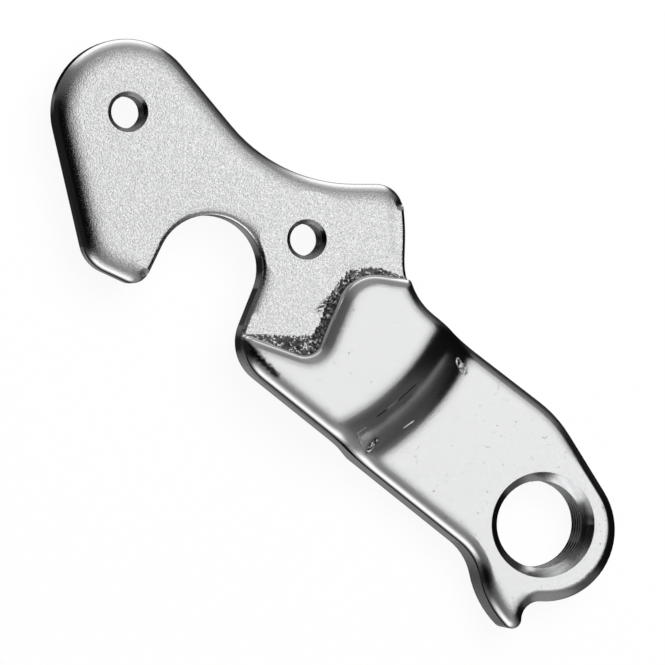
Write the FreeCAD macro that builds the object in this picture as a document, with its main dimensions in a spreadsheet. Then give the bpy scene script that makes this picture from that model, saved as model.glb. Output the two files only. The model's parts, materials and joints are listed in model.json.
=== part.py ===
import FreeCAD, Part
import math
import os
import Sketcher

# A bicycle derailleur hanger, forged in one piece and machined, in millimetres.
# It lies on its back, with +Z on the side that faces away from the wheel. The
# origin is where the axis of the derailleur thread leaves the back of the tongue.

os.makedirs("parts", exist_ok=True)
doc = FreeCAD.newDocument("DerailleurHanger")

# Driving dimensions: lengths, and angles in degrees
SIZES = {
    # Thicknesses, and the drop of the back face from the plate to the tongue
    "plate_thick": 4.0,
    "boss_rise": 2.6,
    "tongue_thick": 6.5,
    "joggle": 3.2,
    # Thread for the derailleur bolt, M10 x 1, open at both mouths
    "bore_wall": 4.46,
    "bore_mouth": 0.92,
    "bore_mouth_deep": 1.6,
    "bore_back_mouth": 0.4,
    # Threads for the two fixing screws, M4, from the derailleur thread to the
    # lower screw and from there to the upper one
    "screw_wall": 1.65,
    "screw_mouth": 0.4,
    "screw_b_left": 24.6,
    "screw_b_above": 28.88,
    "screw_spacing": 22.25,
    "screw_row_angle": 145.1,
    # Lobe round the upper screw
    "lobe_radius": 7.35,
    # Half-round notch that clears the wheel's axle, and the heel and the tip beside
    # its mouth
    "notch_left": 9.9,
    "notch_below": 2.93,
    "notch_radius": 5.35,
    "heel_left": 9.26,
    "heel_above": 2.96,
    "heel_radius": 3.56,
    "tip_radius": 1.7,
    "tip_apart": 0.64,
    "tip_above": 0.2,
    "tip_turn": 14.35,
    # Plate beyond the lower screw
    "corner_above": 2.92,
    "corner_radius": 2.72,
    "corner_run": 0.87,
    "corner_turn": 12.5,
    "back_right": 5.03,
    "back_radius": 16.46,
    "side_right": 10.2,
    "side_above": 0.5,
    "side_radius": 20.3,
    "waist_below": 2.2,
    "waist_radius": 6.84,
    "waist_run": 1.87,
    # Step from the plate up to the boss, and the boss corner at its lower end
    "step_low_left": 0.51,
    "step_low_below": 9.83,
    "step_low_radius": 1.78,
    "step_high_right": 6.63,
    "step_high_below": 7.39,
    "step_high_radius": 3.86,
    "step_left_fall": 19.5,
    "step_right_fall": 8.9,
    "boss_left": 1.65,
    "boss_below": 0.51,
    "boss_radius": 4.6,
    # Tongue round the derailleur thread
    "head_right": 0.5,
    "head_below": 0.58,
    "head_radius": 7.27,
    "shoulder_left": 7.87,
    "shoulder_above": 2.19,
    "shoulder_radius": 12.87,
    "hip_left": 12.03,
    "hip_below": 6.3,
    "hip_radius": 5.78,
    # Stop that the derailleur's adjusting screw bears on
    "stop_left": 2.96,
    "stop_below": 9.63,
    "stop_radius": 0.95,
    "stop_back_radius": 10.04,
    "stop_root_radius": 1.85,
    # Joggle from the boss down to the tongue, curved about an upright axis
    "bend_left": 5.96,
    "bend_above": 0.33,
    "front_start": 20.05,
    "front_slope": 48.0,
    "front_bend": 4.2,
    "back_start": 22.2,
    "back_slope": 58.0,
    "back_bend": 1.3,
    # Rounded edges: front, and the lighter ones of the notch and the plate's end; and
    # the bevel round the back
    "front_edge": 1.25,
    "light_edge": 0.45,
    "step_root": 0.3,
    "back_bevel": 0.6,
}

sheet = doc.addObject("Spreadsheet::Sheet", "Sizes")
for row, (name, size) in enumerate(SIZES.items(), start=1):
    sheet.set(f"A{row}", name)
    sheet.set(f"B{row}", str(size))
    sheet.setAlias(f"B{row}", name)
doc.recompute()

# Places and levels that follow from the sizes. The plate, the boss and the joggle are
# placed from the lower screw, and the tongue from the derailleur thread.
SCREW_B = ("-Sizes.screw_b_left", "Sizes.screw_b_above")
SCREW_A = (
    "-Sizes.screw_b_left + Sizes.screw_spacing * cos(Sizes.screw_row_angle)",
    "Sizes.screw_b_above + Sizes.screw_spacing * sin(Sizes.screw_row_angle)",
)
NOTCH = (f"{SCREW_B[0]} - Sizes.notch_left", f"{SCREW_B[1]} - Sizes.notch_below")
SIDE = (f"{SCREW_B[0]} + Sizes.side_right - Sizes.side_radius", f"{SCREW_B[1]} + Sizes.side_above")
STEP_LOW = (f"{SCREW_B[0]} - Sizes.step_low_left", f"{SCREW_B[1]} - Sizes.step_low_below")
BOSS = (f"{STEP_LOW[0]} - Sizes.boss_left", f"{STEP_LOW[1]} - Sizes.boss_below")
STEP_HIGH = (f"{SCREW_B[0]} + Sizes.step_high_right", f"{SCREW_B[1]} - Sizes.step_high_below")
BEND = (f"{SCREW_B[0]} - Sizes.bend_left", f"{SCREW_B[1]} + Sizes.bend_above")
PLATE_TOP = "Sizes.joggle + Sizes.plate_thick"
BOSS_TOP = f"{PLATE_TOP} + Sizes.boss_rise"

# A reach beyond every edge of the part, for the blank, and one beyond the blank
BEYOND = 70.0
CLEAR = 3 * BEYOND

# Most of a bent face's drop that each of its two bends may take up
BEND_SHARE = 0.48

# The origin, as a sketch names it
ORIGIN_POINT = (-1, 1)


def number(formula):
    """The present value of a formula over the sheet's cells."""
    return float(sheet.evalExpression(formula))


def bind(sketch, constraint, formula):
    """Adds a constraint and ties its size to the sheet."""
    index = sketch.addConstraint(constraint)
    sketch.setExpression(f"Constraints[{index}]", formula)


def fix_point(sketch, point, place):
    """Holds a point of a sketch at a place that follows from the sheet."""
    bind(sketch, Sketcher.Constraint("DistanceX", *ORIGIN_POINT, *point, number(place[0])), place[0])
    bind(sketch, Sketcher.Constraint("DistanceY", *ORIGIN_POINT, *point, number(place[1])), place[1])


def new_sketch(name, role, turn_axis=(0, 0, 1), turn=0, **offsets):
    """A sketch on one of the body's origin planes, turned and moved off it."""
    sketch = body.newObject("Sketcher::SketchObject", name)
    plane = next(item for item in body.Origin.OriginFeatures if item.Role == role)
    sketch.AttachmentSupport = [(plane, "")]
    sketch.MapMode = "FlatFace"
    rotation = FreeCAD.Rotation(FreeCAD.Vector(*turn_axis), turn)
    sketch.AttachmentOffset = FreeCAD.Placement(FreeCAD.Vector(), rotation)
    for axis, formula in offsets.items():
        sketch.setExpression(f"AttachmentOffset.Base.{axis}", formula)
    return sketch


def settled(feature):
    """Recomputes, and stops at a feature that failed."""
    doc.recompute()
    if "Invalid" in feature.State or "Error" in feature.State:
        raise RuntimeError(f"{feature.Label} failed: {feature.State}")
    return feature


def add_feature(kind, name, sketch, **settings):
    """Adds a feature made from a sketch."""
    settled(sketch)
    feature = body.newObject(f"PartDesign::{kind}", name)
    feature.Profile = sketch
    for setting, value in settings.items():
        setattr(feature, setting, value)
    return feature


class Round:
    """A round stretch of an outline; turn is 1 where it bends left, -1 where it bends right.

    The straight run that follows touches it and the next stretch. Where a corner's angle is
    given, the run touches one of them and meets the other at that corner.
    """

    def __init__(self, x, y, radius, turn, corner=None, corner_first=False):
        self.place = (x, y)
        self.radius = radius
        self.corner = corner
        self.corner_first = corner_first
        self.center = (number(x), number(y))
        self.bend = turn * number(radius)


class Link:
    """A round stretch that touches both its neighbours, on the left or right of their centres."""

    place = None
    corner = None
    corner_first = False

    def __init__(self, radius, turn, side):
        self.radius = radius
        self.side = side
        self.bend = turn * number(radius)

    def settle(self, before, after):
        """Finds the centre."""
        reach_before = abs(self.bend - before.bend)
        reach_after = abs(self.bend - after.bend)
        across = (after.center[0] - before.center[0], after.center[1] - before.center[1])
        apart = math.hypot(*across)
        along = (reach_before ** 2 - reach_after ** 2 + apart ** 2) / (2 * apart)
        aside = self.side * math.sqrt(reach_before ** 2 - along ** 2)
        self.center = (
            before.center[0] + (along * across[0] - aside * across[1]) / apart,
            before.center[1] + (along * across[1] + aside * across[0]) / apart,
        )


def heading(before, after, corner_before=0.0, corner_after=0.0):
    """The direction of travel between two round stretches, with a corner at either."""
    across = (after.center[0] - before.center[0], after.center[1] - before.center[1])
    aside = after.bend * math.cos(corner_after) - before.bend * math.cos(corner_before)
    lean = max(-1.0, min(1.0, aside / math.hypot(*across)))
    return math.atan2(across[1], across[0]) - math.asin(lean)


def headings(before, after):
    """The directions of travel out of one round stretch and into the next."""
    corner = math.radians(number(before.corner)) if before.corner else 0.0
    if before.corner_first:
        way = heading(before, after, corner_before=corner)
        return way - corner, way
    way = heading(before, after, corner_after=corner)
    return way, way + corner


def draw_arc(sketch, stretch, first, last):
    """Draws a round stretch between two directions of travel and returns its entry and its exit."""
    radius = abs(stretch.bend)
    leftward = stretch.bend > 0
    shift = -math.pi / 2 if leftward else math.pi / 2
    start, finish = (first, last) if leftward else (last, first)
    circle = Part.Circle(FreeCAD.Vector(*stretch.center, 0), FreeCAD.Vector(0, 0, 1), radius)
    arc = sketch.addGeometry(Part.ArcOfCircle(circle, start + shift, finish + shift))
    bind(sketch, Sketcher.Constraint("Radius", arc, radius), stretch.radius)
    if stretch.place:
        fix_point(sketch, (arc, 3), stretch.place)
    return ((arc, 1), (arc, 2)) if leftward else ((arc, 2), (arc, 1))


def draw_run(sketch, leaving, entering, joins=("Tangent", "Tangent")):
    """Draws the straight run between two stretches."""
    run = sketch.addGeometry(Part.LineSegment(sketch.getPoint(*leaving), sketch.getPoint(*entering)))
    sketch.addConstraint(Sketcher.Constraint(joins[0], *leaving, run, 1))
    sketch.addConstraint(Sketcher.Constraint(joins[1], run, 2, *entering))
    return run


def draw_outline(sketch, stretches):
    """Draws a closed outline, anticlockwise, of round stretches and the straight runs between them."""
    following = stretches[1:] + stretches[:1]
    preceding = stretches[-1:] + stretches[:-1]
    for before, stretch, after in zip(preceding, stretches, following):
        if isinstance(stretch, Link):
            stretch.settle(before, after)
    ways_in = [headings(before, stretch)[1] for before, stretch in zip(preceding, stretches)]
    ways_out = [headings(stretch, after)[0] for stretch, after in zip(stretches, following)]
    arcs = [draw_arc(sketch, *drawing) for drawing in zip(stretches, ways_in, ways_out)]
    for stretch, after, (_, leaving), (entering, _) in zip(stretches, following, arcs, arcs[1:] + arcs[:1]):
        if isinstance(stretch, Link) or isinstance(after, Link):
            sketch.addConstraint(Sketcher.Constraint("Tangent", *leaving, *entering))
        elif stretch.corner:
            joins = ("Coincident", "Tangent") if stretch.corner_first else ("Tangent", "Coincident")
            run = draw_run(sketch, leaving, entering, joins)
            angle = math.radians(number(stretch.corner))
            if stretch.corner_first:
                corner = Sketcher.Constraint("AngleViaPoint", leaving[0], run, *leaving, angle)
            else:
                corner = Sketcher.Constraint("AngleViaPoint", run, entering[0], *entering, angle)
            bind(sketch, corner, stretch.corner)
        else:
            draw_run(sketch, leaving, entering)


def draw_circle(sketch, center, radius):
    """Draws a circle of bound radius."""
    circle = Part.Circle(FreeCAD.Vector(*center, 0), FreeCAD.Vector(0, 0, 1), number(radius))
    rim = sketch.addGeometry(circle)
    bind(sketch, Sketcher.Constraint("Radius", rim, number(radius)), radius)
    return rim


def draw_border(sketch, corners):
    """Draws straight runs from corner to corner, by turns upright and level."""
    runs = [
        sketch.addGeometry(Part.LineSegment(start, finish)) for start, finish in zip(corners, corners[1:])
    ]
    for index, run in enumerate(runs):
        sketch.addConstraint(Sketcher.Constraint("Horizontal" if index % 2 else "Vertical", run))
    for run, after in zip(runs, runs[1:]):
        sketch.addConstraint(Sketcher.Constraint("Coincident", run, 2, after, 1))
    return runs


def place_end(sketch, point, x=None, y=None):
    """Holds a point of a sketch at a fixed place across, up or both."""
    for direction, value in (("DistanceX", x), ("DistanceY", y)):
        if value is not None:
            sketch.addConstraint(Sketcher.Constraint(direction, *ORIGIN_POINT, *point, value))


def draw_box(sketch, left, right, reach):
    """Draws a rectangle that reaches as far down as up."""
    places = ((left, reach), (left, -reach), (right, -reach), (right, reach), (left, reach))
    runs = draw_border(sketch, [FreeCAD.Vector(*place, 0) for place in places])
    sketch.addConstraint(Sketcher.Constraint("Coincident", runs[3], 2, runs[0], 1))
    place_end(sketch, (runs[0], 2), left, -reach)
    place_end(sketch, (runs[2], 2), right, reach)


def draw_joggle(sketch, start, high, low, slope, radius):
    """Draws one bent face of the joggle, seen edge on, and returns its upper and lower ends."""
    lean = math.radians(number(slope))
    drop = f"({high} - {low})"
    bend_size = f"min({radius}; {BEND_SHARE} * {drop} / (1 - cos({slope})))"
    bend = number(bend_size)
    slant = (number(drop) - 2 * bend * (1 - math.cos(lean))) / math.sin(lean)
    reach = 2 * bend * math.sin(lean) + slant * math.cos(lean)
    upper_center = FreeCAD.Vector(number(start), number(high) - bend, 0)
    lower_center = FreeCAD.Vector(number(start) + reach, number(low) + bend, 0)
    normal = FreeCAD.Vector(0, 0, 1)
    upper = sketch.addGeometry(
        Part.ArcOfCircle(Part.Circle(upper_center, normal, bend), math.pi / 2 - lean, math.pi / 2))
    lower = sketch.addGeometry(
        Part.ArcOfCircle(Part.Circle(lower_center, normal, bend), 1.5 * math.pi - lean, 1.5 * math.pi))
    draw_run(sketch, (lower, 1), (upper, 1))
    bind(sketch, Sketcher.Constraint("Radius", upper, bend), bend_size)
    bind(sketch, Sketcher.Constraint("Radius", lower, bend), bend_size)
    bind(sketch, Sketcher.Constraint("Angle", lower + 1, math.pi - lean), f"180 - {slope}")
    fix_point(sketch, (upper, 2), (start, high))
    return (upper, 2), (lower, 2)


def draw_level(sketch, end, reach):
    """Draws a level run on from the end of a bent face and returns it."""
    point = sketch.getPoint(*end)
    run = sketch.addGeometry(Part.LineSegment(point, FreeCAD.Vector(reach, point.y, 0)))
    sketch.addConstraint(Sketcher.Constraint("Tangent", run, 1, *end))
    sketch.addConstraint(Sketcher.Constraint("Horizontal", run))
    place_end(sketch, (run, 2), x=reach)
    return run


def draw_upright(sketch, first, second):
    """Joins the free ends of two level runs."""
    run = sketch.addGeometry(Part.LineSegment(sketch.getPoint(first, 2), sketch.getPoint(second, 2)))
    sketch.addConstraint(Sketcher.Constraint("Coincident", run, 1, first, 2))
    sketch.addConstraint(Sketcher.Constraint("Coincident", run, 2, second, 2))


def edge_at(shape, x, y, z):
    """The name of the edge nearest to a place."""
    spot = Part.Vertex(number(x), number(y), number(z))
    gaps = [edge.distToShape(spot)[0] for edge in shape.Edges]
    return f"Edge{gaps.index(min(gaps)) + 1}"


def dress(kind, name, places, **settings):
    """Rounds or bevels the edges that pass through some places."""
    before = body.Tip
    feature = body.newObject(f"PartDesign::{kind}", name)
    feature.Base = (before, [edge_at(before.Shape, *place) for place in places])
    for setting, formula in settings.items():
        feature.setExpression(setting, formula)
    return settled(feature)


def bevel(name, places, across, along):
    """Bevels the mouths of holes, so far across the face and so far along the wall."""
    feature = dress("Chamfer", name, places, Size=across)
    feature.ChamferType = "Two distances"
    feature.setExpression("Size2", along)
    return settled(feature)


body = doc.addObject("PartDesign::Body", "Hanger")
body.Label = "hanger"

# Blank, tongue side: the joggle's profile, swept half a turn about the upright axis and
# centred on the way from the plate to the tongue
BEND_TURN = -45
profile = new_sketch(
    "BendProfile", "XZ_Plane", (0, 1, 0), BEND_TURN, x=BEND[0], z=f"-({BEND[1]})")
front_upper, front_lower = draw_joggle(
    profile, "Sizes.front_start", BOSS_TOP, "Sizes.tongue_thick", "Sizes.front_slope", "Sizes.front_bend")
back_upper, back_lower = draw_joggle(
    profile, "Sizes.back_start", "Sizes.joggle", "0", "Sizes.back_slope", "Sizes.back_bend")
draw_upright(profile, draw_level(profile, front_upper, 0), draw_level(profile, back_upper, 0))
front_floor = draw_level(profile, front_lower, BEYOND)
back_floor = draw_level(profile, back_lower, BEYOND)
draw_upright(profile, front_floor, back_floor)
bind(profile, Sketcher.Constraint("DistanceY", *ORIGIN_POINT, front_floor, 2, number("Sizes.tongue_thick")),
     "Sizes.tongue_thick")
profile.addConstraint(Sketcher.Constraint("PointOnObject", back_floor, 2, -1))
bent = add_feature("Revolution", "BentHalf", profile, Angle=180, Midplane=True)
bent.ReferenceAxis = (profile, ["V_Axis"])
settled(bent)

# Blank, plate side: level, as thick as the boss
flat_half = new_sketch("FlatHalf", "XY_Plane", (0, 0, 1), BEND_TURN, x=BEND[0], y=BEND[1], z="Sizes.joggle")
draw_box(flat_half, -BEYOND, 0, BEYOND)
flat = add_feature("Pad", "FlatPad", flat_half)
flat.setExpression("Length", "Sizes.plate_thick + Sizes.boss_rise")
settled(flat)

# Outline, anticlockwise; what lies outside it is cut away
outline = new_sketch("Outline", "XY_Plane")
lobe = Round(*SCREW_A, "Sizes.lobe_radius", 1)
heel = Round(f"{NOTCH[0]} - Sizes.heel_left", f"{NOTCH[1]} + Sizes.heel_above", "Sizes.heel_radius", 1)
tip = Round(
    f"{NOTCH[0]} - Sizes.notch_radius - Sizes.tip_radius - Sizes.tip_apart",
    f"{NOTCH[1]} + Sizes.tip_above",
    "Sizes.tip_radius",
    1,
    "Sizes.tip_turn",
    corner_first=True,
)
notch = Round(*NOTCH, "Sizes.notch_radius", -1)
boss_corner = Round(*BOSS, "Sizes.boss_radius", 1)
hip = Round("-Sizes.hip_left", "-Sizes.hip_below", "Sizes.hip_radius", -1)
stop_back = Link("Sizes.stop_back_radius", 1, 1)
stop = Round("-Sizes.stop_left", "-Sizes.stop_below", "Sizes.stop_radius", 1)
stop_root = Link("Sizes.stop_root_radius", -1, -1)
head = Round("Sizes.head_right", "-Sizes.head_below", "Sizes.head_radius", 1)
shoulder = Round("-Sizes.shoulder_left", "Sizes.shoulder_above", "Sizes.shoulder_radius", 1)
waist = Round(
    f"{SIDE[0]} + sqrt((Sizes.side_radius + Sizes.waist_radius) ^ 2 + Sizes.waist_run ^ 2"
    " - (Sizes.side_above + Sizes.waist_below) ^ 2)",
    f"{SCREW_B[1]} - Sizes.waist_below",
    "Sizes.waist_radius",
    -1,
)
side = Round(*SIDE, "Sizes.side_radius", 1, "Sizes.corner_turn")
corner = Round(
    f"{SIDE[0]} + sqrt((Sizes.side_radius - Sizes.corner_radius * cos(Sizes.corner_turn)) ^ 2"
    " + Sizes.corner_run ^ 2 - (Sizes.corner_above - Sizes.side_above) ^ 2)",
    f"{SCREW_B[1]} + Sizes.corner_above",
    "Sizes.corner_radius",
    1,
)
back = Round(
    f"{SCREW_B[0]} + Sizes.back_right",
    f"{SCREW_B[1]} + Sizes.corner_above + Sizes.corner_radius + Sizes.back_radius",
    "Sizes.back_radius",
    -1,
)
plate_stretches = [side, corner, back, lobe, heel, tip, notch]
tongue_stretches = [boss_corner, hip, stop_back, stop, stop_root, head, shoulder, waist]
draw_outline(outline, plate_stretches + tongue_stretches)
draw_box(outline, -CLEAR, CLEAR, CLEAR)
settled(add_feature("Pocket", "Trim", outline, Type="ThroughAll", Midplane=True))

# Step: the front of the plate lies lower than the boss
step = new_sketch("Step", "XY_Plane", z=BOSS_TOP)
step_low = Round(*STEP_LOW, "Sizes.step_low_radius", 1)
step_high = Round(*STEP_HIGH, "Sizes.step_high_radius", -1)
way_in = -math.radians(number("Sizes.step_left_fall"))
way_up = heading(step_low, step_high)
way_out = -math.radians(number("Sizes.step_right_fall"))
low_entry, low_exit = draw_arc(step, step_low, way_in, way_up)
high_entry, high_exit = draw_arc(step, step_high, way_up, way_out)
draw_run(step, low_exit, high_entry)

start_x = f"{BOSS[0]} - 2 * Sizes.boss_radius"
start_point = step.getPoint(*low_entry)
start_point += FreeCAD.Vector(1, math.tan(way_in), 0) * (number(start_x) - start_point.x)
end_point = step.getPoint(*high_exit)
end_point += FreeCAD.Vector(1, math.tan(way_out), 0) * (BEYOND - end_point.x)
left_run = step.addGeometry(Part.LineSegment(start_point, step.getPoint(*low_entry)))
right_run = step.addGeometry(Part.LineSegment(step.getPoint(*high_exit), end_point))
step.addConstraint(Sketcher.Constraint("Tangent", left_run, 2, *low_entry))
step.addConstraint(Sketcher.Constraint("Tangent", *high_exit, right_run, 1))
bind(step, Sketcher.Constraint("Angle", left_run, way_in), "-Sizes.step_left_fall")
bind(step, Sketcher.Constraint("Angle", right_run, way_out), "-Sizes.step_right_fall")
bind(step, Sketcher.Constraint("DistanceX", *ORIGIN_POINT, left_run, 1, start_point.x), start_x)
place_end(step, (right_run, 2), x=BEYOND)

# The rest of what the step cuts is bounded clear of the part
places = ((BEYOND, BEYOND), (-BEYOND, BEYOND), (-BEYOND, -BEYOND), (start_point.x, -BEYOND))
clear_corners = [FreeCAD.Vector(*place, 0) for place in places]
border = draw_border(step, [end_point, *clear_corners, start_point])
step.addConstraint(Sketcher.Constraint("Coincident", right_run, 2, border[0], 1))
step.addConstraint(Sketcher.Constraint("Coincident", border[-1], 2, left_run, 1))
place_end(step, (border[0], 2), y=BEYOND)
place_end(step, (border[2], 2), -BEYOND, -BEYOND)
step_cut = add_feature("Pocket", "StepCut", step)
step_cut.setExpression("Length", "Sizes.boss_rise")
settled(step_cut)

# Holes: the derailleur thread through the tongue, the screw threads through the plate
holes = new_sketch("Holes", "XY_Plane")
bore_rim = draw_circle(holes, (0, 0), "Sizes.bore_wall")
holes.addConstraint(Sketcher.Constraint("Coincident", bore_rim, 3, *ORIGIN_POINT))
for place in (SCREW_A, SCREW_B):
    screw_rim = draw_circle(holes, (number(place[0]), number(place[1])), "Sizes.screw_wall")
    fix_point(holes, (screw_rim, 3), place)
settled(add_feature("Pocket", "Drilling", holes, Type="ThroughAll", Midplane=True))

# Places on the edges that are rounded or bevelled
LOBE_TOP = (SCREW_A[0], f"{SCREW_A[1]} + Sizes.lobe_radius")
NOTCH_TOP = (NOTCH[0], f"{NOTCH[1]} + Sizes.notch_radius")
SIDE_END = (f"{SCREW_B[0]} + Sizes.side_right", f"{SCREW_B[1]} + Sizes.side_above")
STEP_CREST = (STEP_HIGH[0], f"{STEP_HIGH[1]} + Sizes.step_high_radius")
HEAD_END = ("Sizes.head_right + Sizes.head_radius", "-Sizes.head_below")
BORE_TOP = ("0", "Sizes.bore_wall")
SCREW_TOPS = [(x, f"{y} + Sizes.screw_wall") for x, y in (SCREW_A, SCREW_B)]

# Rounded edges
dress("Fillet", "StepRoot", [(*STEP_CREST, PLATE_TOP)], Radius="Sizes.step_root")
dress(
    "Fillet",
    "FrontRound",
    [(*LOBE_TOP, PLATE_TOP), (*HEAD_END, "Sizes.tongue_thick"), (*STEP_CREST, BOSS_TOP)],
    Radius="Sizes.front_edge",
)
dress("Fillet", "LightRound", [(*NOTCH_TOP, PLATE_TOP), (*SIDE_END, PLATE_TOP)], Radius="Sizes.light_edge")

# Bevels round the back and at the mouths of the holes
dress("Chamfer", "BackBevel", [(*HEAD_END, "0")], Size="Sizes.back_bevel")
dress("Chamfer", "LobeBackBevel", [(*LOBE_TOP, "Sizes.joggle")], Size="Sizes.back_bevel")
bevel("BoreMouth", [(*BORE_TOP, "Sizes.tongue_thick")], "Sizes.bore_mouth", "Sizes.bore_mouth_deep")
bevel("BoreBackMouth", [(*BORE_TOP, "0")], "Sizes.bore_back_mouth", "Sizes.bore_back_mouth")
bevel(
    "ScrewMouths",
    [(*place, level) for place in SCREW_TOPS for level in (PLATE_TOP, "Sizes.joggle")],
    "Sizes.screw_mouth",
    "Sizes.screw_mouth",
)

for item in doc.Objects:
    if "Invalid" in item.State or "Error" in item.State:
        raise RuntimeError(f"{item.Label} failed: {item.State}")
if body.Shape.isNull() or not body.Shape.isValid() or len(body.Shape.Solids) != 1:
    raise RuntimeError("the hanger isn't one valid solid")
body.Shape.exportStep(f"parts/{body.Label}.step")
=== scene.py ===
import json
import math

import bpy
from bpy.props import FloatProperty, FloatVectorProperty, IntProperty, PointerProperty
from mathutils import Matrix, Vector, noise


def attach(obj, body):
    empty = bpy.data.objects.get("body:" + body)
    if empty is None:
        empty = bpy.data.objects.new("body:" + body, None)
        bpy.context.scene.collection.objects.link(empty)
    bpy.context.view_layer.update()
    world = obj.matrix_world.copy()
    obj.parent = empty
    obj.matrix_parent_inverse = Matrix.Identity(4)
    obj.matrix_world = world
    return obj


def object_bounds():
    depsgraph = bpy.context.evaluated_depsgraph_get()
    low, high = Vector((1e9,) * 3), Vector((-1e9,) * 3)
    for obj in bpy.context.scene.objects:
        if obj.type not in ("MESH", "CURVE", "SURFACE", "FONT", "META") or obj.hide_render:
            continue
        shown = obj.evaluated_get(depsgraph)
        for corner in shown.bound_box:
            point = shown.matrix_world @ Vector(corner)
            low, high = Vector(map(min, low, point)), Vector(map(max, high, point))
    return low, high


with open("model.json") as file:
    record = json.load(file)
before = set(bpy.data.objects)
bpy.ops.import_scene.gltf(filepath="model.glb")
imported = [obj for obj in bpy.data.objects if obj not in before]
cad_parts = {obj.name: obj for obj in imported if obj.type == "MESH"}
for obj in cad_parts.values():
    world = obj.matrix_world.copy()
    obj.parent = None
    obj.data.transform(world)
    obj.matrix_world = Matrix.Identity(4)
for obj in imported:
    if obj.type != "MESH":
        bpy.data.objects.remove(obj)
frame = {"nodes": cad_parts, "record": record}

bl_info = {
    "name": "Derailleur hanger",
    "version": (1, 0, 0),
    "blender": (4, 5, 0),
    "location": "View3D > Sidebar > Hanger",
    "description": "Gives a machined derailleur hanger its threads, its tumbled finish and its studio",
    "category": "Object",
}

CAD_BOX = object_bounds()
MM = 0.001
HANGER = frame["nodes"]["hanger"]
MOUNTS = {mount["name"]: mount for mount in frame["record"]["mounts"]}
BORE = MOUNTS["derailleur_thread"]
LOWER_SCREW = MOUNTS["lower_screw"]
UPPER_SCREW = MOUNTS["upper_screw"]
PLATE_TOP = MOUNTS["dropout_seat"]["pos_m"][2]

# Places on the hanger, in millimetres: the height of the plate's face, the notch, and the plate's end with
# the stretch above which it lies
PLATE_FACE = PLATE_TOP / MM
NOTCH = (-34.5, 25.95)
NOTCH_RADIUS = 5.35
PLATE_END = -14.4
PLATE_END_ABOVE = (26.0, 28.0)

# Heights over which the boss leaves the plate's face upward, and the joggle leaves it downward
BOSS_RISE = (PLATE_FACE + 0.5, PLATE_FACE + 2.0)
JOGGLE_FALL = (PLATE_FACE - 0.1, PLATE_FACE - 0.5)

# Cuts keep their edges sharper than the rest: how far from each wall that is so, and where it has ended.
# At the plate's end both are counted back from its edge. The notch's edge is less sharp, and on its right
# the least.
SCREW_RIM = (3.0, 3.4)
BORE_RIM = (1.8, 3.6)
NOTCH_RIM = (1.5, 2.5)
STEP_RIM = (2.0, 3.3)
END_RIM = (PLATE_END - 2.0, PLATE_END - 0.5)
NOTCH_RIGHT = (-31.5, -29.8)
NOTCH_SHARPNESS = 0.7
NOTCH_RIGHT_LOSS = 0.4

# The holes' mouths, where shade is painted, measured as the rims are, the way that the bore's one shaded
# side faces, and how dark that painted shade is
SCREW_MOUTH = (0.4, 0.5)
BORE_MOUTH = (0.95, 1.05)
BORE_SHADED_WAY = (-0.94, 0.35)
MOUTH_SHADE_STRENGTH = 0.7

# The foot of the step up to the boss: each point has its place and how far the rough skin spreads from it
STEP_FOOT = (
    (-30.6, 19.10, 0.3),
    (-28.4, 18.30, 1.1),
    (-25.7, 17.37, 2.0),
    (-24.4, 17.35, 2.0),
    (-23.5, 18.36, 1.0),
    (-22.5, 20.60, 0.8),
    (-21.5, 22.98, 0.9),
    (-19.9, 24.84, 1.1),
    (-17.4, 25.30, 0.9),
    (-15.0, 24.90, 0.4),
)

# Creases in the joggle and rough spots at its ends and by the step, left by the forging and the cutter, and
# dark lines of painted shade beside the creases: each with its two ends and how far it reaches to the side
CREASE_REACH = 0.13
CREASE_DEPTH = 1.3
CREASES = (
    ((-16.9, 11.7, 9.2), (-15.5, 12.8, 9.15), CREASE_REACH),
    ((-14.6, 9.9, 6.9), (-13.6, 10.6, 6.8), CREASE_REACH),
    ((-19.0, 9.9, 9.0), (-19.8, 9.3, 8.9), CREASE_REACH),
    ((-19.8, 9.3, 8.9), (-19.1, 8.2, 7.6), CREASE_REACH),
)
# Dark lines of painted shade beside the creases
CREASE_SHADE_LINES = (
    ((-17.8, 11.1, 9.2), (-16.8, 11.8, 9.2), CREASE_REACH),
    ((-15.6, 12.7, 9.15), (-13.9, 14.2, 9.05), CREASE_REACH),
)
CHATTER = (
    ((-23.4, 21.8, 7.2), (-22.4, 22.9, 7.2), 0.5),
    ((-18.2, 7.6, 7.0), (-17.6, 8.6, 7.3), 0.7),
    ((-9.0, 16.7, 7.0), (-8.2, 15.6, 6.6), 0.65),
)

# The boss's left corner, rubbed down toward the left: its two ends, how far it reaches to the side, by how
# much that reach is ragged, the width of the rags, and how far the corner is turned
RUBBED_CORNER = ((-30.8, 17.9, 9.4), (-28.3, 15.2, 9.75))
RUBBED_REACH = (0.05, 0.55)
RUBBED_RAGGED = 0.7
RUBBED_RAGGED_SIZE = 0.3
RUBBED_TURN = 0.3

# Widths of the patterns in the metal and on the skin, in millimetres
PATCH_SIZE = 4.0
PIT_SIZE = 0.3
SPECKLE_SIZE = 0.17
CUTTER_MARK_SIZE = 0.12
CUTTER_MARK_DEPTH = 0.008
SKIN_PIT_SIZE = 0.22
SKIN_PIT_DEPTH = 0.07
SKIN_BRIGHT_SIZE = 0.33

# Colours of the specks and pits in the metal, of the painted shade in the holes' mouths, in the creases and
# in the rough spots, of the thread's flanks, and of the skin from its dark ground to the specks that shine on
# it
SPECK_GREY = (0.42, 0.425, 0.435, 1.0)
MOUTH_SHADE_GREY = (0.1, 0.1, 0.1, 1.0)
PAINTED_SHADE_BLACK = (0.03, 0.03, 0.03, 1.0)
CUTTER_GREY = (0.45, 0.45, 0.46, 1.0)
SKIN_DARK = (0.04, 0.04, 0.042, 1.0)
SKIN_PALE = (0.4, 0.4, 0.4, 1.0)
SKIN_BRIGHT = (0.9, 0.9, 0.9, 1.0)

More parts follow.
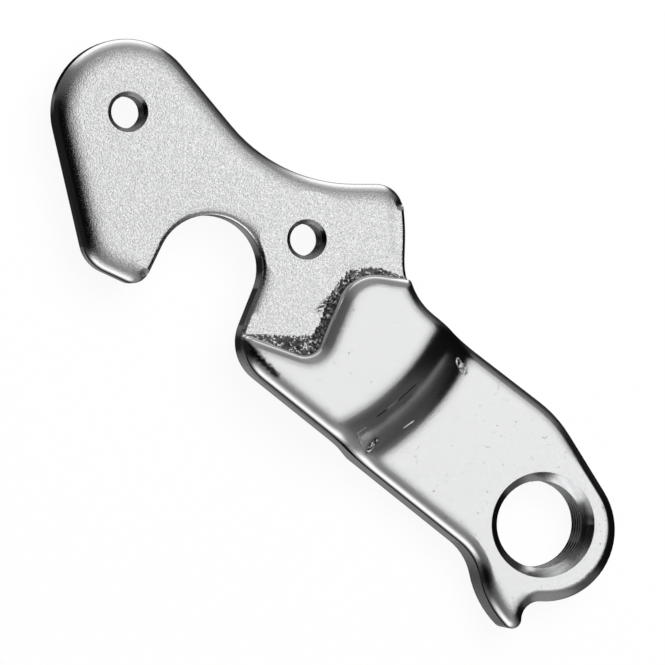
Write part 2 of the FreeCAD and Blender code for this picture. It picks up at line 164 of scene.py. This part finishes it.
# Ways that a face may look, how upright its way is where it counts as level, as cut and once worn, and how
# far the rims of cuts and the skin's bright specks are turned straight up
UP = (0.0, 0.0, 1.0)
LEFT = (-1.0, 0.0, 0.0)
LEVEL = (0.975, 0.999)
LEVEL_WORN = (0.98, 0.999)
RIM_TURN = 0.25
SPECK_TURN = 0.85

# How many times the worn edges are sampled at each place
BEVEL_SAMPLES = 6

# The share of a level face that is lit and mirrors nothing, so that the face is pale from all sides
LIT_SHARE = 0.2

# The threads: the slope of a flank, and as shares of the pitch half the width of a crest and how far a ridge
# is sunk into the wall
FLANK_SLOPE = math.radians(30)
CREST_HALF = 0.06
RIDGE_SUNK = 0.04

# The skin, in millimetres: the grid's margin round the step's foot, the width of the bays in its border and
# their depth as a share of its spread, the width of its lumps, the deepest dip, how far all of it is lifted,
# and how far its sides go down
SKIN_MARGIN = 2.2
BAY_SIZE = 0.5
BAY_DEPTH = 0.45
LUMP_SIZE = 0.45
SKIN_DIP = 0.05
SKIN_CLEAR = 0.02
SKIN_DEPTH = 0.25

# The studio, in metres and watts: the floor, the share of it that glows by itself, and the soft box, whose
# place is counted from the hanger's middle
WHITE = (1.0, 1.0, 1.0, 1.0)
FLOOR_SIZE = 3.0
FLOOR_GAP = 0.02 * MM
GLOW_SHARE = 0.93
SOFT_BOX_POWER = 5.2
SOFT_BOX_SIZE = 0.5
SOFT_BOX_PLACE = (0.1, 0.25, 0.7)

# The photograph's side and the lens's focal length in pixels, and the width that the lens is given
PHOTO_SIDE = 665
PHOTO_FOCAL_PIXELS = 6355
SENSOR_WIDTH = 36.0


class Wire:
    """A socket that Python's arithmetic works on: each operation adds a Math node."""

    def __init__(self, board, socket):
        self.board = board
        self.socket = socket

    def out(self, name):
        """Another output of the same node."""
        return Wire(self.board, self.socket.node.outputs[name])

    def __add__(self, other):
        return self.board.math("ADD", self, other)

    __radd__ = __add__

    def __sub__(self, other):
        return self.board.math("SUBTRACT", self, other)

    def __rsub__(self, other):
        return self.board.math("SUBTRACT", other, self)

    def __mul__(self, other):
        return self.board.math("MULTIPLY", self, other)

    __rmul__ = __mul__

    def __truediv__(self, other):
        return self.board.math("DIVIDE", self, other)

    def __abs__(self):
        return self.board.math("ABSOLUTE", self)


class Board:
    """The nodes of one material or of the world."""

    def __init__(self, owner):
        owner.use_nodes = True
        self.tree = owner.node_tree
        self.tree.nodes.clear()

    def add(self, kind, settings=None, sockets=None, output=0):
        """Adds a node: first its settings, then the values or links of its sockets."""
        node = self.tree.nodes.new(f"ShaderNode{kind}")
        for name, value in (settings or {}).items():
            setattr(node, name, value)
        for name, value in (sockets or {}).items():
            if isinstance(value, Wire):
                self.tree.links.new(value.socket, node.inputs[name])
            else:
                node.inputs[name].default_value = value
        return Wire(self, node.outputs[output]) if node.outputs else None

    def math(self, operation, *values):
        return self.add("Math", {"operation": operation}, dict(enumerate(values)))

    def larger(self, first, second):
        """The larger of two values."""
        return self.math("MAXIMUM", first, second)

    def smooth(self, value, low, high):
        """Rises from 0 to 1 while a value goes from low to high."""
        sockets = {"Value": value, "From Min": low, "From Max": high}
        return self.add("MapRange", {"interpolation_type": "SMOOTHSTEP"}, sockets)

    def mix(self, factor, first, second):
        """A colour between two others."""
        return self.add("Mix", {"data_type": "RGBA"}, {0: factor, 6: first, 7: second}, 2)

    def mix_vectors(self, factor, first, second):
        """A direction between two others."""
        between = self.add("Mix", {"data_type": "VECTOR"}, {0: factor, 4: first, 5: second}, 1)
        return self.add("VectorMath", {"operation": "NORMALIZE"}, {0: between})

    def axes(self, vector):
        """The three parts of a vector."""
        split = self.add("SeparateXYZ", {}, {0: vector})
        return split, split.out("Y"), split.out("Z")

    def place(self):
        """The place on the object, in millimetres."""
        here = self.add("TexCoord", output="Object")
        return self.add("VectorMath", {"operation": "SCALE"}, {0: here, "Scale": 1 / MM})

    def noise(self, place, size, detail=2.0, distortion=0.0):
        """Soft noise whose features are about so many millimetres wide."""
        sockets = {"Vector": place, "Scale": 1 / size, "Detail": detail, "Distortion": distortion}
        return self.add("TexNoise", {}, sockets, "Fac")

    def apart(self, place, start, end):
        """The distance from a place to the line between two points."""
        start = Vector(start)
        reach = Vector(end) - start
        away = self.add("VectorMath", {"operation": "SUBTRACT"}, {0: place, 1: start})
        along = self.add("VectorMath", {"operation": "DOT_PRODUCT"}, {0: away, 1: reach}, "Value")
        along = self.add("Clamp", {}, {"Value": along / reach.length_squared})
        nearest = self.add("VectorMath", {"operation": "SCALE"}, {0: reach, "Scale": along})
        return self.add("VectorMath", {"operation": "DISTANCE"}, {0: away, 1: nearest}, "Value")

    def bump(self, height, depth, normal=None):
        """The way that a relief faces, so many millimetres deep, on the surface as it is or as worn."""
        sockets = {"Strength": 1.0, "Distance": depth * MM, "Height": height}
        if normal is not None:
            sockets["Normal"] = normal
        return self.add("Bump", {}, sockets)

    def metal(self, shade, roughness, normal, metallic=1.0):
        """Ends a material as metal."""
        sockets = {"Base Color": shade, "Metallic": metallic, "Roughness": roughness, "Normal": normal}
        self.finish(self.add("BsdfPrincipled", {}, sockets))

    def finish(self, shader):
        """Joins a shader to the output."""
        kind = "OutputWorld" if isinstance(self.tree.id_data, bpy.types.World) else "OutputMaterial"
        self.add(kind, {}, {"Surface": shader})


class HangerMetal(bpy.types.PropertyGroup):
    """The tumbled aluminium."""

    colour: FloatVectorProperty(
        name="Metal", description="Colour of the bare aluminium", subtype="COLOR", size=3,
        min=0.0, max=1.0, default=(0.93, 0.933, 0.937))
    flat_roughness: FloatProperty(
        name="Flat roughness", description="Roughness of the tumbled flats",
        default=0.19, min=0.0, max=1.0)
    edge_roughness: FloatProperty(
        name="Edge roughness", description="Roughness of the polished edges",
        default=0.1, min=0.0, max=1.0)
    grain: FloatProperty(
        name="Grain", description="Width of the marks left by the tumbling stones, in millimetres",
        default=0.14, min=0.05, max=2.0)
    grain_depth: FloatProperty(
        name="Grain depth", description="Depth of those marks, in millimetres",
        default=0.024, min=0.0, max=0.2)
    plate_wear: FloatProperty(
        name="Plate wear", description="Reach of the tumbling's wear on the plate's edges, in millimetres",
        default=2.9, min=0.0, max=6.0)
    boss_wear: FloatProperty(
        name="Boss wear", description="Reach of that wear on the boss and the tongue, in millimetres",
        default=1.7, min=0.0, max=6.0)


class HangerThreads(bpy.types.PropertyGroup):
    """The threads of the three holes."""

    bore_pitch: FloatProperty(
        name="Derailleur pitch", description="Pitch of the derailleur bolt's thread",
        subtype="DISTANCE", unit="LENGTH", default=1.0 * MM, precision=5)
    screw_pitch: FloatProperty(
        name="Screw pitch", description="Pitch of the fixing screws' threads",
        subtype="DISTANCE", unit="LENGTH", default=0.7 * MM, precision=5)
    crest: FloatProperty(
        name="Crest", description="How far a crest stands in from the hole's wall, as a share of the pitch",
        default=0.045, min=0.02, max=0.5)
    facets: IntProperty(name="Facets", description="Facets in a turn", default=64, min=12, max=128)


class HangerSkin(bpy.types.PropertyGroup):
    """The rough skin that the forging left at the foot of the step."""

    thickness: FloatProperty(
        name="Thickness", description="How far the skin stands on the plate",
        subtype="DISTANCE", unit="LENGTH", default=0.9 * MM, precision=5)
    lumps: FloatProperty(
        name="Lumps", description="How far its lumps stand out",
        subtype="DISTANCE", unit="LENGTH", default=0.35 * MM, precision=5)
    cell: FloatProperty(
        name="Cell", description="Size of its faces",
        subtype="DISTANCE", unit="LENGTH", default=0.12 * MM, min=0.05 * MM, precision=5)


class HangerStudio(bpy.types.PropertyGroup):
    """The floor, the light and the lens."""

    floor: FloatVectorProperty(
        name="Floor", description="Colour of the floor", subtype="COLOR", size=3, min=0.0, max=1.0,
        default=(0.95, 0.95, 0.95))
    distance: FloatProperty(
        name="Distance", description="From the lens to the plate's face",
        subtype="DISTANCE", unit="LENGTH", default=0.64)
    swing: FloatProperty(
        name="Swing", description="How far the lens swings to the left of straight on",
        subtype="ANGLE", default=math.radians(11.6))
    aim: FloatVectorProperty(
        name="Aim", description="Point in the middle of the picture", subtype="TRANSLATION", size=3,
        default=(-21.98 * MM, 19.52 * MM, PLATE_TOP))


def clear_selection():
    """Deselects everything, so that an operator acts only on what it has just added."""
    if bpy.context.object and bpy.context.object.mode != "OBJECT":
        bpy.ops.object.mode_set(mode="OBJECT")
    bpy.ops.object.select_all(action="DESELECT")


def apply_modifiers(piece):
    for modifier in list(piece.modifiers):
        bpy.ops.object.modifier_apply(modifier=modifier.name)


def give(piece, material):
    """Makes a material the only one of a piece."""
    piece.data.materials.clear()
    piece.data.materials.append(material)


def by_rim(board, place, centre, radius, reach):
    """Falls from 1 to 0 as a place leaves a round cut, between two distances from its wall."""
    x, y = board.axes(place)[:2]
    across = x - centre[0]
    along = y - centre[1]
    apart = board.math("SQRT", across * across + along * along) - radius
    return 1 - board.smooth(apart, *reach)


def by_hole(board, place, mount, reach):
    """The same for a threaded hole, known by its mount."""
    centre = [part / MM for part in mount["pos_m"]]
    return by_rim(board, place, centre, mount["dims"]["r_mm"], reach)


def marks(board, place, lines):
    """Rises to 1 along short lines, each with its two ends and how far it reaches to the side."""
    deepest = 0.0
    for start, end, reach in lines:
        apart = board.apart(place, start, end)
        deepest = board.larger(deepest, 1 - board.smooth(apart, 0.0, reach))
    return deepest


def near_cuts(board, place):
    """Rises to 1 by the holes, the notch, the step and the plate's end, whose edges are sharper."""
    x, y = board.axes(place)[:2]
    near = board.smooth(x, *END_RIM) * board.smooth(y, *PLATE_END_ABOVE)
    for mount, reach in ((LOWER_SCREW, SCREW_RIM), (UPPER_SCREW, SCREW_RIM), (BORE, BORE_RIM)):
        near = board.larger(near, by_hole(board, place, mount, reach))
    sharpness = NOTCH_SHARPNESS - NOTCH_RIGHT_LOSS * board.smooth(x, *NOTCH_RIGHT)
    near = board.larger(near, by_rim(board, place, NOTCH, NOTCH_RADIUS, NOTCH_RIM) * sharpness)
    # Every third point of the step's foot follows it closely enough here
    corners = [(*point[:2], PLATE_FACE) for point in STEP_FOOT[::3]]
    foot = 0.0
    for start, end in zip(corners, corners[1:]):
        foot = board.larger(foot, 1 - board.smooth(board.apart(place, start, end), *STEP_RIM))
    return board.larger(near, foot)


def painted_mouth_shade(board, place, normal):
    """Rises to 1 in the holes' mouths, where shade is painted: at the bore on one side only."""
    mouth_shade = 0.0
    for mount in (LOWER_SCREW, UPPER_SCREW):
        mouth_shade = board.larger(mouth_shade, by_hole(board, place, mount, SCREW_MOUTH))
    across, along, facing = board.axes(normal)
    # The bore's painted shade lies on the side of its mouth that faces this way
    side = board.smooth(across * BORE_SHADED_WAY[0] + along * BORE_SHADED_WAY[1], 0.5, 0.85)
    mouth_shade = board.larger(mouth_shade, by_hole(board, place, BORE, BORE_MOUTH) * side)
    return mouth_shade * (1 - board.smooth(facing, 0.9, 0.95))


def metal_zones(board, place, normal):
    """How level the metal is, how far up the boss it lies, and how near to the plate's face."""
    height = board.axes(place)[2]
    flat = board.smooth(abs(board.axes(normal)[2]), *LEVEL)
    raised = board.smooth(height, *BOSS_RISE)
    sunken = board.smooth(height, *JOGGLE_FALL)
    return flat, raised, (1 - raised) * (1 - sunken)


def worn_edges(board, place, normal, zones, metal):
    """The way that the metal faces with its edges worn: widely on the plate, and hardly by the cuts."""
    flat, raised, peened = zones
    along, facing = board.axes(normal)[1:]
    wide = board.add("Bevel", {"samples": BEVEL_SAMPLES}, {"Radius": metal.plate_wear * MM})
    narrow = board.add("Bevel", {"samples": BEVEL_SAMPLES}, {"Radius": metal.boss_wear * MM})
    beside_notch = by_rim(board, place, NOTCH, NOTCH_RADIUS, NOTCH_RIM)
    rounded = board.mix_vectors(board.larger(1 - peened, beside_notch), wide, narrow)
    cuts = near_cuts(board, place)
    # Wear is stronger on the boss and on level faces, and stops where a face turns down
    wear = 0.65 + raised * 0.2 + flat * 0.3
    upward = board.smooth(facing, 0.2, 0.9)
    worn = board.mix_vectors(wear * (1 - cuts) * upward, normal, rounded)
    # The upper and lower slopes of a cut's rim are turned a little toward straight up
    rims = cuts * board.smooth(facing, 0.55, 0.65) * (1 - flat) * abs(along)
    return board.mix_vectors(rims * RIM_TURN, worn, UP)


def rubbed_corner(board, place, normal):
    """Turns the boss's left corner toward the left where it was rubbed, over a ragged reach."""
    ragged = (board.noise(place, RUBBED_RAGGED_SIZE, 1.0, 0.5) - 0.5) * RUBBED_RAGGED
    apart = board.apart(place, *RUBBED_CORNER) + ragged
    return board.mix_vectors((1 - board.smooth(apart, *RUBBED_REACH)) * RUBBED_TURN, normal, LEFT)


def metal_shade(board, place, normal, zones, grain, metal):
    """The bare metal's colour, greyed by the grain, by soft patches and pits, with painted shade in the
    holes' mouths.
    """
    flat, _, peened = zones
    # The stones' marks show most on the plate, and the other level faces are a little greyer all over
    specks = board.smooth(grain, 0.42, 0.60) * flat * (0.06 + 0.24 * peened)
    patches = board.noise(place, PATCH_SIZE, 2.0) * 0.05
    pits = board.smooth(board.noise(place, PIT_SIZE, 1.0), 0.70, 0.76) * 0.5
    greyed = specks + patches + pits + (1 - peened) * flat * 0.14
    shade = board.mix(greyed, (*metal.colour, 1.0), SPECK_GREY)
    # Painted shade darkens the holes' mouths
    return board.mix(painted_mouth_shade(board, place, normal) * MOUTH_SHADE_STRENGTH, shade, MOUTH_SHADE_GREY)


def tumbled_aluminium(metal):
    """Flats peened by the tumbling stones, between edges that they have polished."""
    material = bpy.data.materials.new("tumbled_aluminium")
    board = Board(material)
    place = board.place()
    normal = board.add("TexCoord", output="Normal")
    zones = metal_zones(board, place, normal)
    flat, _, peened = zones

    # A rough spot is speckled: darkened by painted shade in its speckles, and turned straight up between them
    spots = marks(board, place, CHATTER)
    speckle = board.smooth(board.noise(place, SPECKLE_SIZE, 1.0), 0.4, 0.48)
    soft = rubbed_corner(board, place, worn_edges(board, place, normal, zones, metal))
    soft = board.mix_vectors(spots * (1 - speckle), soft, UP)

    # The grain is faint on the edges, and deepest on the plate's level faces
    grain = board.noise(place, metal.grain, 1.0, 0.3)
    # Painted shade darkens the rough spots' speckles and the lines beside the creases
    painted_shade = board.larger(spots * speckle, marks(board, place, CREASE_SHADE_LINES))
    shade = board.mix(painted_shade, metal_shade(board, place, normal, zones, grain, metal), PAINTED_SHADE_BLACK)
    roughness = metal.edge_roughness + flat * (metal.flat_roughness - metal.edge_roughness)
    coarse = 0.15 + flat * 0.25 + peened * 0.75
    relief = (grain - 0.5) * coarse - marks(board, place, CREASES) * CREASE_DEPTH
    level = board.smooth(board.axes(soft)[2], *LEVEL_WORN)
    bump = board.bump(relief, metal.grain_depth, soft)
    board.metal(shade, roughness, bump, metallic=1 - level * LIT_SHARE)
    return material


def cut_metal(metal):
    """Freshly cut thread flanks, duller than the tumbled faces."""
    material = bpy.data.materials.new("cut_aluminium")
    board = Board(material)
    tool_marks = board.noise(board.place(), CUTTER_MARK_SIZE, 2.0)
    shade = board.mix(tool_marks, (*metal.colour, 1.0), CUTTER_GREY)
    board.metal(shade, 0.22 + tool_marks * 0.15, board.bump(tool_marks, CUTTER_MARK_DEPTH))
    return material


def forging_skin():
    """Dark, pitted skin with bright specks where it has been rubbed."""
    material = bpy.data.materials.new("forging_skin")
    board = Board(material)
    place = board.place()
    pits = board.noise(place, SKIN_PIT_SIZE, 3.0, 0.6)
    rubbed = board.smooth(board.noise(place, SKIN_BRIGHT_SIZE, 2.0, 0.8), 0.57, 0.62)
    shade = board.mix(rubbed, board.mix(pits, SKIN_DARK, SKIN_PALE), SKIN_BRIGHT)
    worn = board.mix_vectors(rubbed * SPECK_TURN, board.bump(pits, SKIN_PIT_DEPTH), UP)
    board.metal(shade, 0.22 + pits * 0.2, worn)
    return material


def white_paper(colour):
    """Paper that takes the hanger's shadow and looks white, and that the metal doesn't mirror."""
    material = bpy.data.materials.new("white_floor")
    board = Board(material)
    seen = board.add("LightPath", output="Is Camera Ray")
    paper = board.add("BsdfDiffuse", {}, {"Color": (*colour, 1.0)})
    glow = board.add("Emission", {}, {"Color": WHITE, "Strength": 1.0})
    lit = board.add("MixShader", {}, {0: GLOW_SHARE, 1: paper, 2: glow})
    clear = board.add("BsdfTransparent")
    board.finish(board.add("MixShader", {}, {0: seen, 1: clear, 2: lit}))
    return material


def add_thread(name, mount, below, pitch, threads):
    """A helical ridge just inside a hole's wall, closed at both ends. Its start lies a share of the thread's
    length below the mount."""
    clear_selection()
    radius = mount["dims"]["r_mm"] * MM
    length = mount["dims"]["length_mm"] * MM
    start = Vector(mount["pos_m"]) - Vector((0, 0, below * length))
    crest = threads.crest * pitch
    sunk = RIDGE_SUNK * pitch
    top = CREST_HALF * pitch
    foot = top + (crest + sunk) * math.tan(FLANK_SLOPE)
    bpy.ops.mesh.primitive_circle_add(
        vertices=4, radius=foot, fill_type="NOTHING", location=(radius, 0, 0), rotation=(math.pi / 2, 0, 0))
    ridge = bpy.context.object
    ridge.name = name
    bpy.ops.object.transform_apply(location=True, rotation=True, scale=True)
    # The circle's four corners become the ridge's section, from its sunk foot to its crest
    shape = ((radius + sunk, -foot), (radius + sunk, foot), (radius - crest, top), (radius - crest, -top))
    for corner, (across, up) in zip(ridge.data.vertices, shape):
        corner.co = (across, 0, up)
    turns = (length - 2 * foot) / pitch
    screw = ridge.modifiers.new("Turns", "SCREW")
    screw.axis = "Z"
    screw.angle = math.tau * turns
    screw.screw_offset = pitch * turns
    screw.steps = round(threads.facets * turns)
    screw.render_steps = screw.steps
    screw.use_merge_vertices = False
    apply_modifiers(ridge)
    ridge.data.transform(Matrix.Translation(start + Vector((0, 0, foot))))
    bpy.ops.object.mode_set(mode="EDIT")
    bpy.ops.mesh.select_all(action="SELECT")
    bpy.ops.mesh.fill_holes(sides=4)
    bpy.ops.mesh.select_all(action="SELECT")
    bpy.ops.mesh.normals_make_consistent(inside=False)
    bpy.ops.object.mode_set(mode="OBJECT")
    return ridge


def uneven(place, size, evenness):
    """Rises and falls with the place, about once in each size, with two finer waves on it."""
    return noise.fractal(place / size, evenness, 2.0, 3)


def skin_at(x, y):
    """How thick the skin is over a place: 1 at the step's foot, 0 at its ragged border, less outside."""
    best = -1.0
    here = Vector((x, y))
    for (*first, near), (*second, far) in zip(STEP_FOOT, STEP_FOOT[1:]):
        start, end = Vector(first), Vector(second)
        reach = end - start
        share = max(0.0, min(1.0, (here - start).dot(reach) / reach.length_squared))
        spread = near + share * (far - near)
        best = max(best, 1.0 - (here - start - share * reach).length / spread)
    # The bays are deepest at the border
    bay = abs(uneven(Vector((x, y, 0.0)), BAY_SIZE, 0.8))
    return best - BAY_DEPTH * bay * (1.2 - best)


def skin_cells(grid):
    """The grid's faces that the skin covers, without those that would touch the rest only by a corner."""
    kept = {}
    for face in grid.polygons:
        if skin_at(face.center.x / MM, face.center.y / MM) >= 0.0:
            kept[face.index] = set(face.vertices)
    while True:
        around = {}
        for index, corners in kept.items():
            for corner in corners:
                around.setdefault(corner, []).append(index)
        pairs = [found for found in around.values() if len(found) == 2]
        pinched = {pair[1] for pair in pairs if len(kept[pair[0]] & kept[pair[1]]) == 1}
        if not pinched:
            return kept
        for index in pinched:
            del kept[index]


def add_skin_grid(cell):
    """A level grid over the step's foot and round it, cut down to the faces that the skin covers."""
    clear_selection()
    low = [min(point[axis] for point in STEP_FOOT) - SKIN_MARGIN for axis in (0, 1)]
    high = [max(point[axis] for point in STEP_FOOT) + SKIN_MARGIN for axis in (0, 1)]
    span = [(above - below) * MM for below, above in zip(low, high)]
    centre = [(above + below) / 2 * MM for below, above in zip(low, high)]
    bpy.ops.mesh.primitive_grid_add(
        x_subdivisions=round(span[0] / cell), y_subdivisions=round(span[1] / cell), size=1.0,
        location=(*centre, PLATE_TOP))
    skin = bpy.context.object
    skin.name = "forging_skin"
    skin.scale = (*span, 1.0)
    bpy.ops.object.transform_apply(location=True, rotation=True, scale=True)
    bpy.ops.object.mode_set(mode="EDIT")
    bpy.ops.mesh.select_mode(type="FACE")
    bpy.ops.mesh.select_all(action="DESELECT")
    bpy.ops.object.mode_set(mode="OBJECT")
    kept = skin_cells(skin.data)
    for face in skin.data.polygons:
        face.select = face.index not in kept
    bpy.ops.object.mode_set(mode="EDIT")
    bpy.ops.mesh.delete(type="FACE")
    bpy.ops.object.mode_set(mode="OBJECT")
    return skin


def add_forging_skin(settings):
    """A ragged, low sheet along the foot of the step, closed underneath."""
    skin = add_skin_grid(settings.cell)
    for corner in skin.data.vertices:
        thick = max(0.0, skin_at(corner.co.x / MM, corner.co.y / MM))
        lump = uneven(corner.co, LUMP_SIZE * MM, 0.7)
        # The lumps die out toward the border
        raised = settings.thickness * thick + settings.lumps * lump * min(1.0, 3 * thick)
        corner.co.z += max(raised, -SKIN_DIP * MM) + SKIN_CLEAR * MM
    bpy.ops.object.mode_set(mode="EDIT")
    bpy.ops.mesh.select_all(action="SELECT")
    bpy.ops.mesh.extrude_region_move(TRANSFORM_OT_translate={"value": (0, 0, -SKIN_DEPTH * MM)})
    bpy.ops.mesh.select_all(action="SELECT")
    bpy.ops.mesh.normals_make_consistent(inside=False)
    bpy.ops.object.mode_set(mode="OBJECT")
    bpy.ops.object.shade_smooth()
    return skin


class Tent:
    """The studio as the metal mirrors it: a grey tent with lamps, pale cards and black flags in it."""

    def __init__(self, board):
        self.board = board
        self.x, self.y, self.z = board.axes(board.add("TexCoord", output="Generated"))
        self.fall = board.math("ARCCOSINE", self.z) * math.degrees(1)
        # Kept above 0, because ways are divided by it
        self.aside = board.larger(board.math("SQRT", self.x * self.x + self.y * self.y), 0.001)
        self.light = 0.0

    def cloth(self, right, up, left, down):
        """The tent's four sides, which pass into each other."""
        ways = ((self.x, right), (self.y, up), (self.x * -1, left), (self.y * -1, down))
        for along, grey in ways:
            share = self.board.larger(along / self.aside, 0.0)
            self.light = share * share * grey + self.light

    def lay(self, share, grey):
        """Covers what is there with a grey."""
        self.light = self.light + share * (grey - self.light)

    def card(self, way, half, top, bottom, soft, grey):
        """A card on one side: its way and half width, its top and bottom as degrees from straight above."""
        turn = math.radians(way)
        along = (self.x * math.cos(turn) + self.y * math.sin(turn)) / self.aside
        edge = math.cos(math.radians(half + soft))
        across = self.board.smooth(along, edge, math.cos(math.radians(half)))
        below = self.board.smooth(self.fall, top - soft, top)
        above = self.board.smooth(self.fall, bottom + soft, bottom)
        self.lay(across * below * above, grey)

    def disc(self, way, fall, core, reach, grey):
        """A round lamp or flag: its way, its centre's degrees from straight above, its core and soft edge."""
        turn, drop = math.radians(way), math.radians(fall)
        centre = Vector((math.sin(drop) * math.cos(turn), math.sin(drop) * math.sin(turn), math.cos(drop)))
        toward = self.x * centre.x + self.y * centre.y + self.z * centre.z
        edge = math.cos(math.radians(reach))
        self.lay(self.board.smooth(toward, edge, math.cos(math.radians(core))), grey)


def studio_light(board):
    """The tent's cloth, cards and discs. Each way is in degrees, from the right over the top to the left."""
    tent = Tent(board)
    tent.cloth(right=0.08, up=0.28, left=0.035, down=0.25)
    tent.card(way=90, half=22, top=95, bottom=128, soft=26, grey=1.1)
    tent.card(way=-113, half=12, top=82, bottom=100, soft=24, grey=1.15)
    tent.card(way=-115, half=38, top=135, bottom=164, soft=5, grey=0.002)
    tent.card(way=-32, half=10, top=48, bottom=150, soft=18, grey=0.065)
    tent.card(way=-175, half=12, top=4, bottom=175, soft=12, grey=0.012)
    tent.card(way=-173, half=14, top=4, bottom=80, soft=14, grey=0.002)
    tent.card(way=-17, half=8, top=37, bottom=160, soft=10, grey=0.008)
    tent.card(way=12, half=9, top=50, bottom=100, soft=12, grey=0.006)
    tent.card(way=30, half=12, top=98, bottom=175, soft=20, grey=0.03)
    tent.card(way=90, half=45, top=156, bottom=182, soft=6, grey=0.004)
    tent.card(way=0, half=12, top=62, bottom=160, soft=22, grey=0.004)
    tent.disc(way=180, fall=8, core=5, reach=12, grey=0.008)
    tent.disc(way=25, fall=27, core=6, reach=22, grey=0.85)
    tent.disc(way=3, fall=15.5, core=12, reach=17, grey=1.0)
    return tent.light


def light_world(scene):
    """Hangs the tent round the hanger, with plain white where the lens looks past it."""
    world = bpy.data.worlds.new("studio")
    scene.world = world
    board = Board(world)
    seen = board.add("LightPath", output="Is Camera Ray")
    light = board.add("Background", {}, {"Color": studio_light(board), "Strength": 1.0})
    white = board.add("Background", {}, {"Color": WHITE, "Strength": 1.0})
    board.finish(board.add("MixShader", {}, {0: seen, 1: light, 2: white}))


def add_floor(place, colour):
    """Lays the paper under the hanger."""
    clear_selection()
    bpy.ops.mesh.primitive_plane_add(size=FLOOR_SIZE, location=place)
    floor = bpy.context.object
    floor.name = "floor"
    bpy.ops.object.transform_apply(location=True, rotation=True, scale=True)
    give(floor, white_paper(colour))
    return floor


def add_soft_box(scene, middle):
    """A wide lamp that looks down on the hanger's middle and isn't mirrored in it."""
    lamp = bpy.data.lights.new("soft_box", "AREA")
    lamp.energy = SOFT_BOX_POWER
    lamp.size = SOFT_BOX_SIZE
    box = bpy.data.objects.new("soft_box", lamp)
    box.location = middle + Vector(SOFT_BOX_PLACE)
    box.rotation_mode = "QUATERNION"
    box.rotation_quaternion = (box.location - middle).to_track_quat("Z", "Y")
    box.visible_glossy = False
    scene.collection.objects.link(box)


class HANGER_OT_camera(bpy.types.Operator):
    """Places the lens as the photograph was taken"""

    bl_idname = "hanger.camera"
    bl_label = "Camera"

    def execute(self, context):
        studio = context.scene.hanger_studio
        back = Vector((-math.sin(studio.swing), 0, math.cos(studio.swing)))
        right = Vector((math.cos(studio.swing), 0, math.sin(studio.swing)))
        lens = bpy.data.cameras.new("photo_lens")
        lens.sensor_width = SENSOR_WIDTH
        lens.lens = PHOTO_FOCAL_PIXELS / PHOTO_SIDE * SENSOR_WIDTH
        lens.clip_start = 0.01
        lens.clip_end = 10
        camera = bpy.data.objects.new("photo_camera", lens)
        turn = Matrix((right, (0, 1, 0), back)).transposed().to_4x4()
        camera.matrix_world = Matrix.Translation(Vector(studio.aim) + studio.distance * back) @ turn
        context.scene.collection.objects.link(camera)
        context.scene.camera = camera
        return {"FINISHED"}


class HANGER_OT_metal(bpy.types.Operator):
    """Gives the hanger its tumbled aluminium"""

    bl_idname = "hanger.metal"
    bl_label = "Tumbled metal"

    def execute(self, context):
        give(HANGER, tumbled_aluminium(context.scene.hanger_metal))
        for polygon in HANGER.data.polygons:
            polygon.material_index = 0
        return {"FINISHED"}


class HANGER_OT_threads(bpy.types.Operator):
    """Cuts the thread of each hole"""

    bl_idname = "hanger.threads"
    bl_label = "Threads"

    def execute(self, context):
        threads = context.scene.hanger_threads
        metal = cut_metal(context.scene.hanger_metal)
        # The bore's mount lies at the thread's lower end, and a screw hole's at its middle
        holes = (
            ("derailleur_thread_ridge", BORE, 0.0, threads.bore_pitch),
            ("lower_screw_ridge", LOWER_SCREW, 0.5, threads.screw_pitch),
            ("upper_screw_ridge", UPPER_SCREW, 0.5, threads.screw_pitch),
        )
        for name, mount, below, pitch in holes:
            ridge = add_thread(name, mount, below, pitch, threads)
            give(ridge, metal)
            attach(ridge, "root")
        return {"FINISHED"}


class HANGER_OT_skin(bpy.types.Operator):
    """Leaves the forging's rough skin at the foot of the step"""

    bl_idname = "hanger.skin"
    bl_label = "Forging skin"

    def execute(self, context):
        skin = add_forging_skin(context.scene.hanger_skin)
        give(skin, forging_skin())
        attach(skin, "root")
        return {"FINISHED"}


class HANGER_OT_studio(bpy.types.Operator):
    """Lays the floor and lights the hanger"""

    bl_idname = "hanger.studio"
    bl_label = "Studio"

    def execute(self, context):
        scene = context.scene
        scene.view_settings.view_transform = "Standard"
        light_world(scene)
        low, high = CAD_BOX
        middle = (low + high) / 2
        floor = add_floor((middle.x, middle.y, low.z - FLOOR_GAP), scene.hanger_studio.floor)
        add_soft_box(scene, middle)
        return {"FINISHED"}


class HANGER_PT_steps(bpy.types.Panel):
    """The hanger's making, step by step"""

    bl_idname = "HANGER_PT_steps"
    bl_label = "Derailleur hanger"
    bl_space_type = "VIEW_3D"
    bl_region_type = "UI"
    bl_category = "Hanger"

    def draw(self, context):
        for group in [getattr(context.scene, name) for name in GROUPS]:
            for name in group.__annotations__:
                self.layout.prop(group, name)
        for step in STEPS:
            self.layout.operator(step.bl_idname)


GROUPS = {
    "hanger_metal": HangerMetal,
    "hanger_threads": HangerThreads,
    "hanger_skin": HangerSkin,
    "hanger_studio": HangerStudio,
}
STEPS = (HANGER_OT_camera, HANGER_OT_metal, HANGER_OT_threads, HANGER_OT_skin, HANGER_OT_studio)


def register():
    for name, group in GROUPS.items():
        bpy.utils.register_class(group)
        setattr(bpy.types.Scene, name, PointerProperty(type=group))
    for step in STEPS:
        bpy.utils.register_class(step)
    bpy.utils.register_class(HANGER_PT_steps)


def unregister():
    bpy.utils.unregister_class(HANGER_PT_steps)
    for step in reversed(STEPS):
        bpy.utils.unregister_class(step)
    for name, group in reversed(GROUPS.items()):
        delattr(bpy.types.Scene, name)
        bpy.utils.unregister_class(group)


def main():
    register()
    bpy.ops.hanger.camera()
    bpy.ops.hanger.metal()
    bpy.ops.hanger.threads()
    bpy.ops.hanger.skin()
    bpy.ops.hanger.studio()


if __name__ == "__main__":
    main()
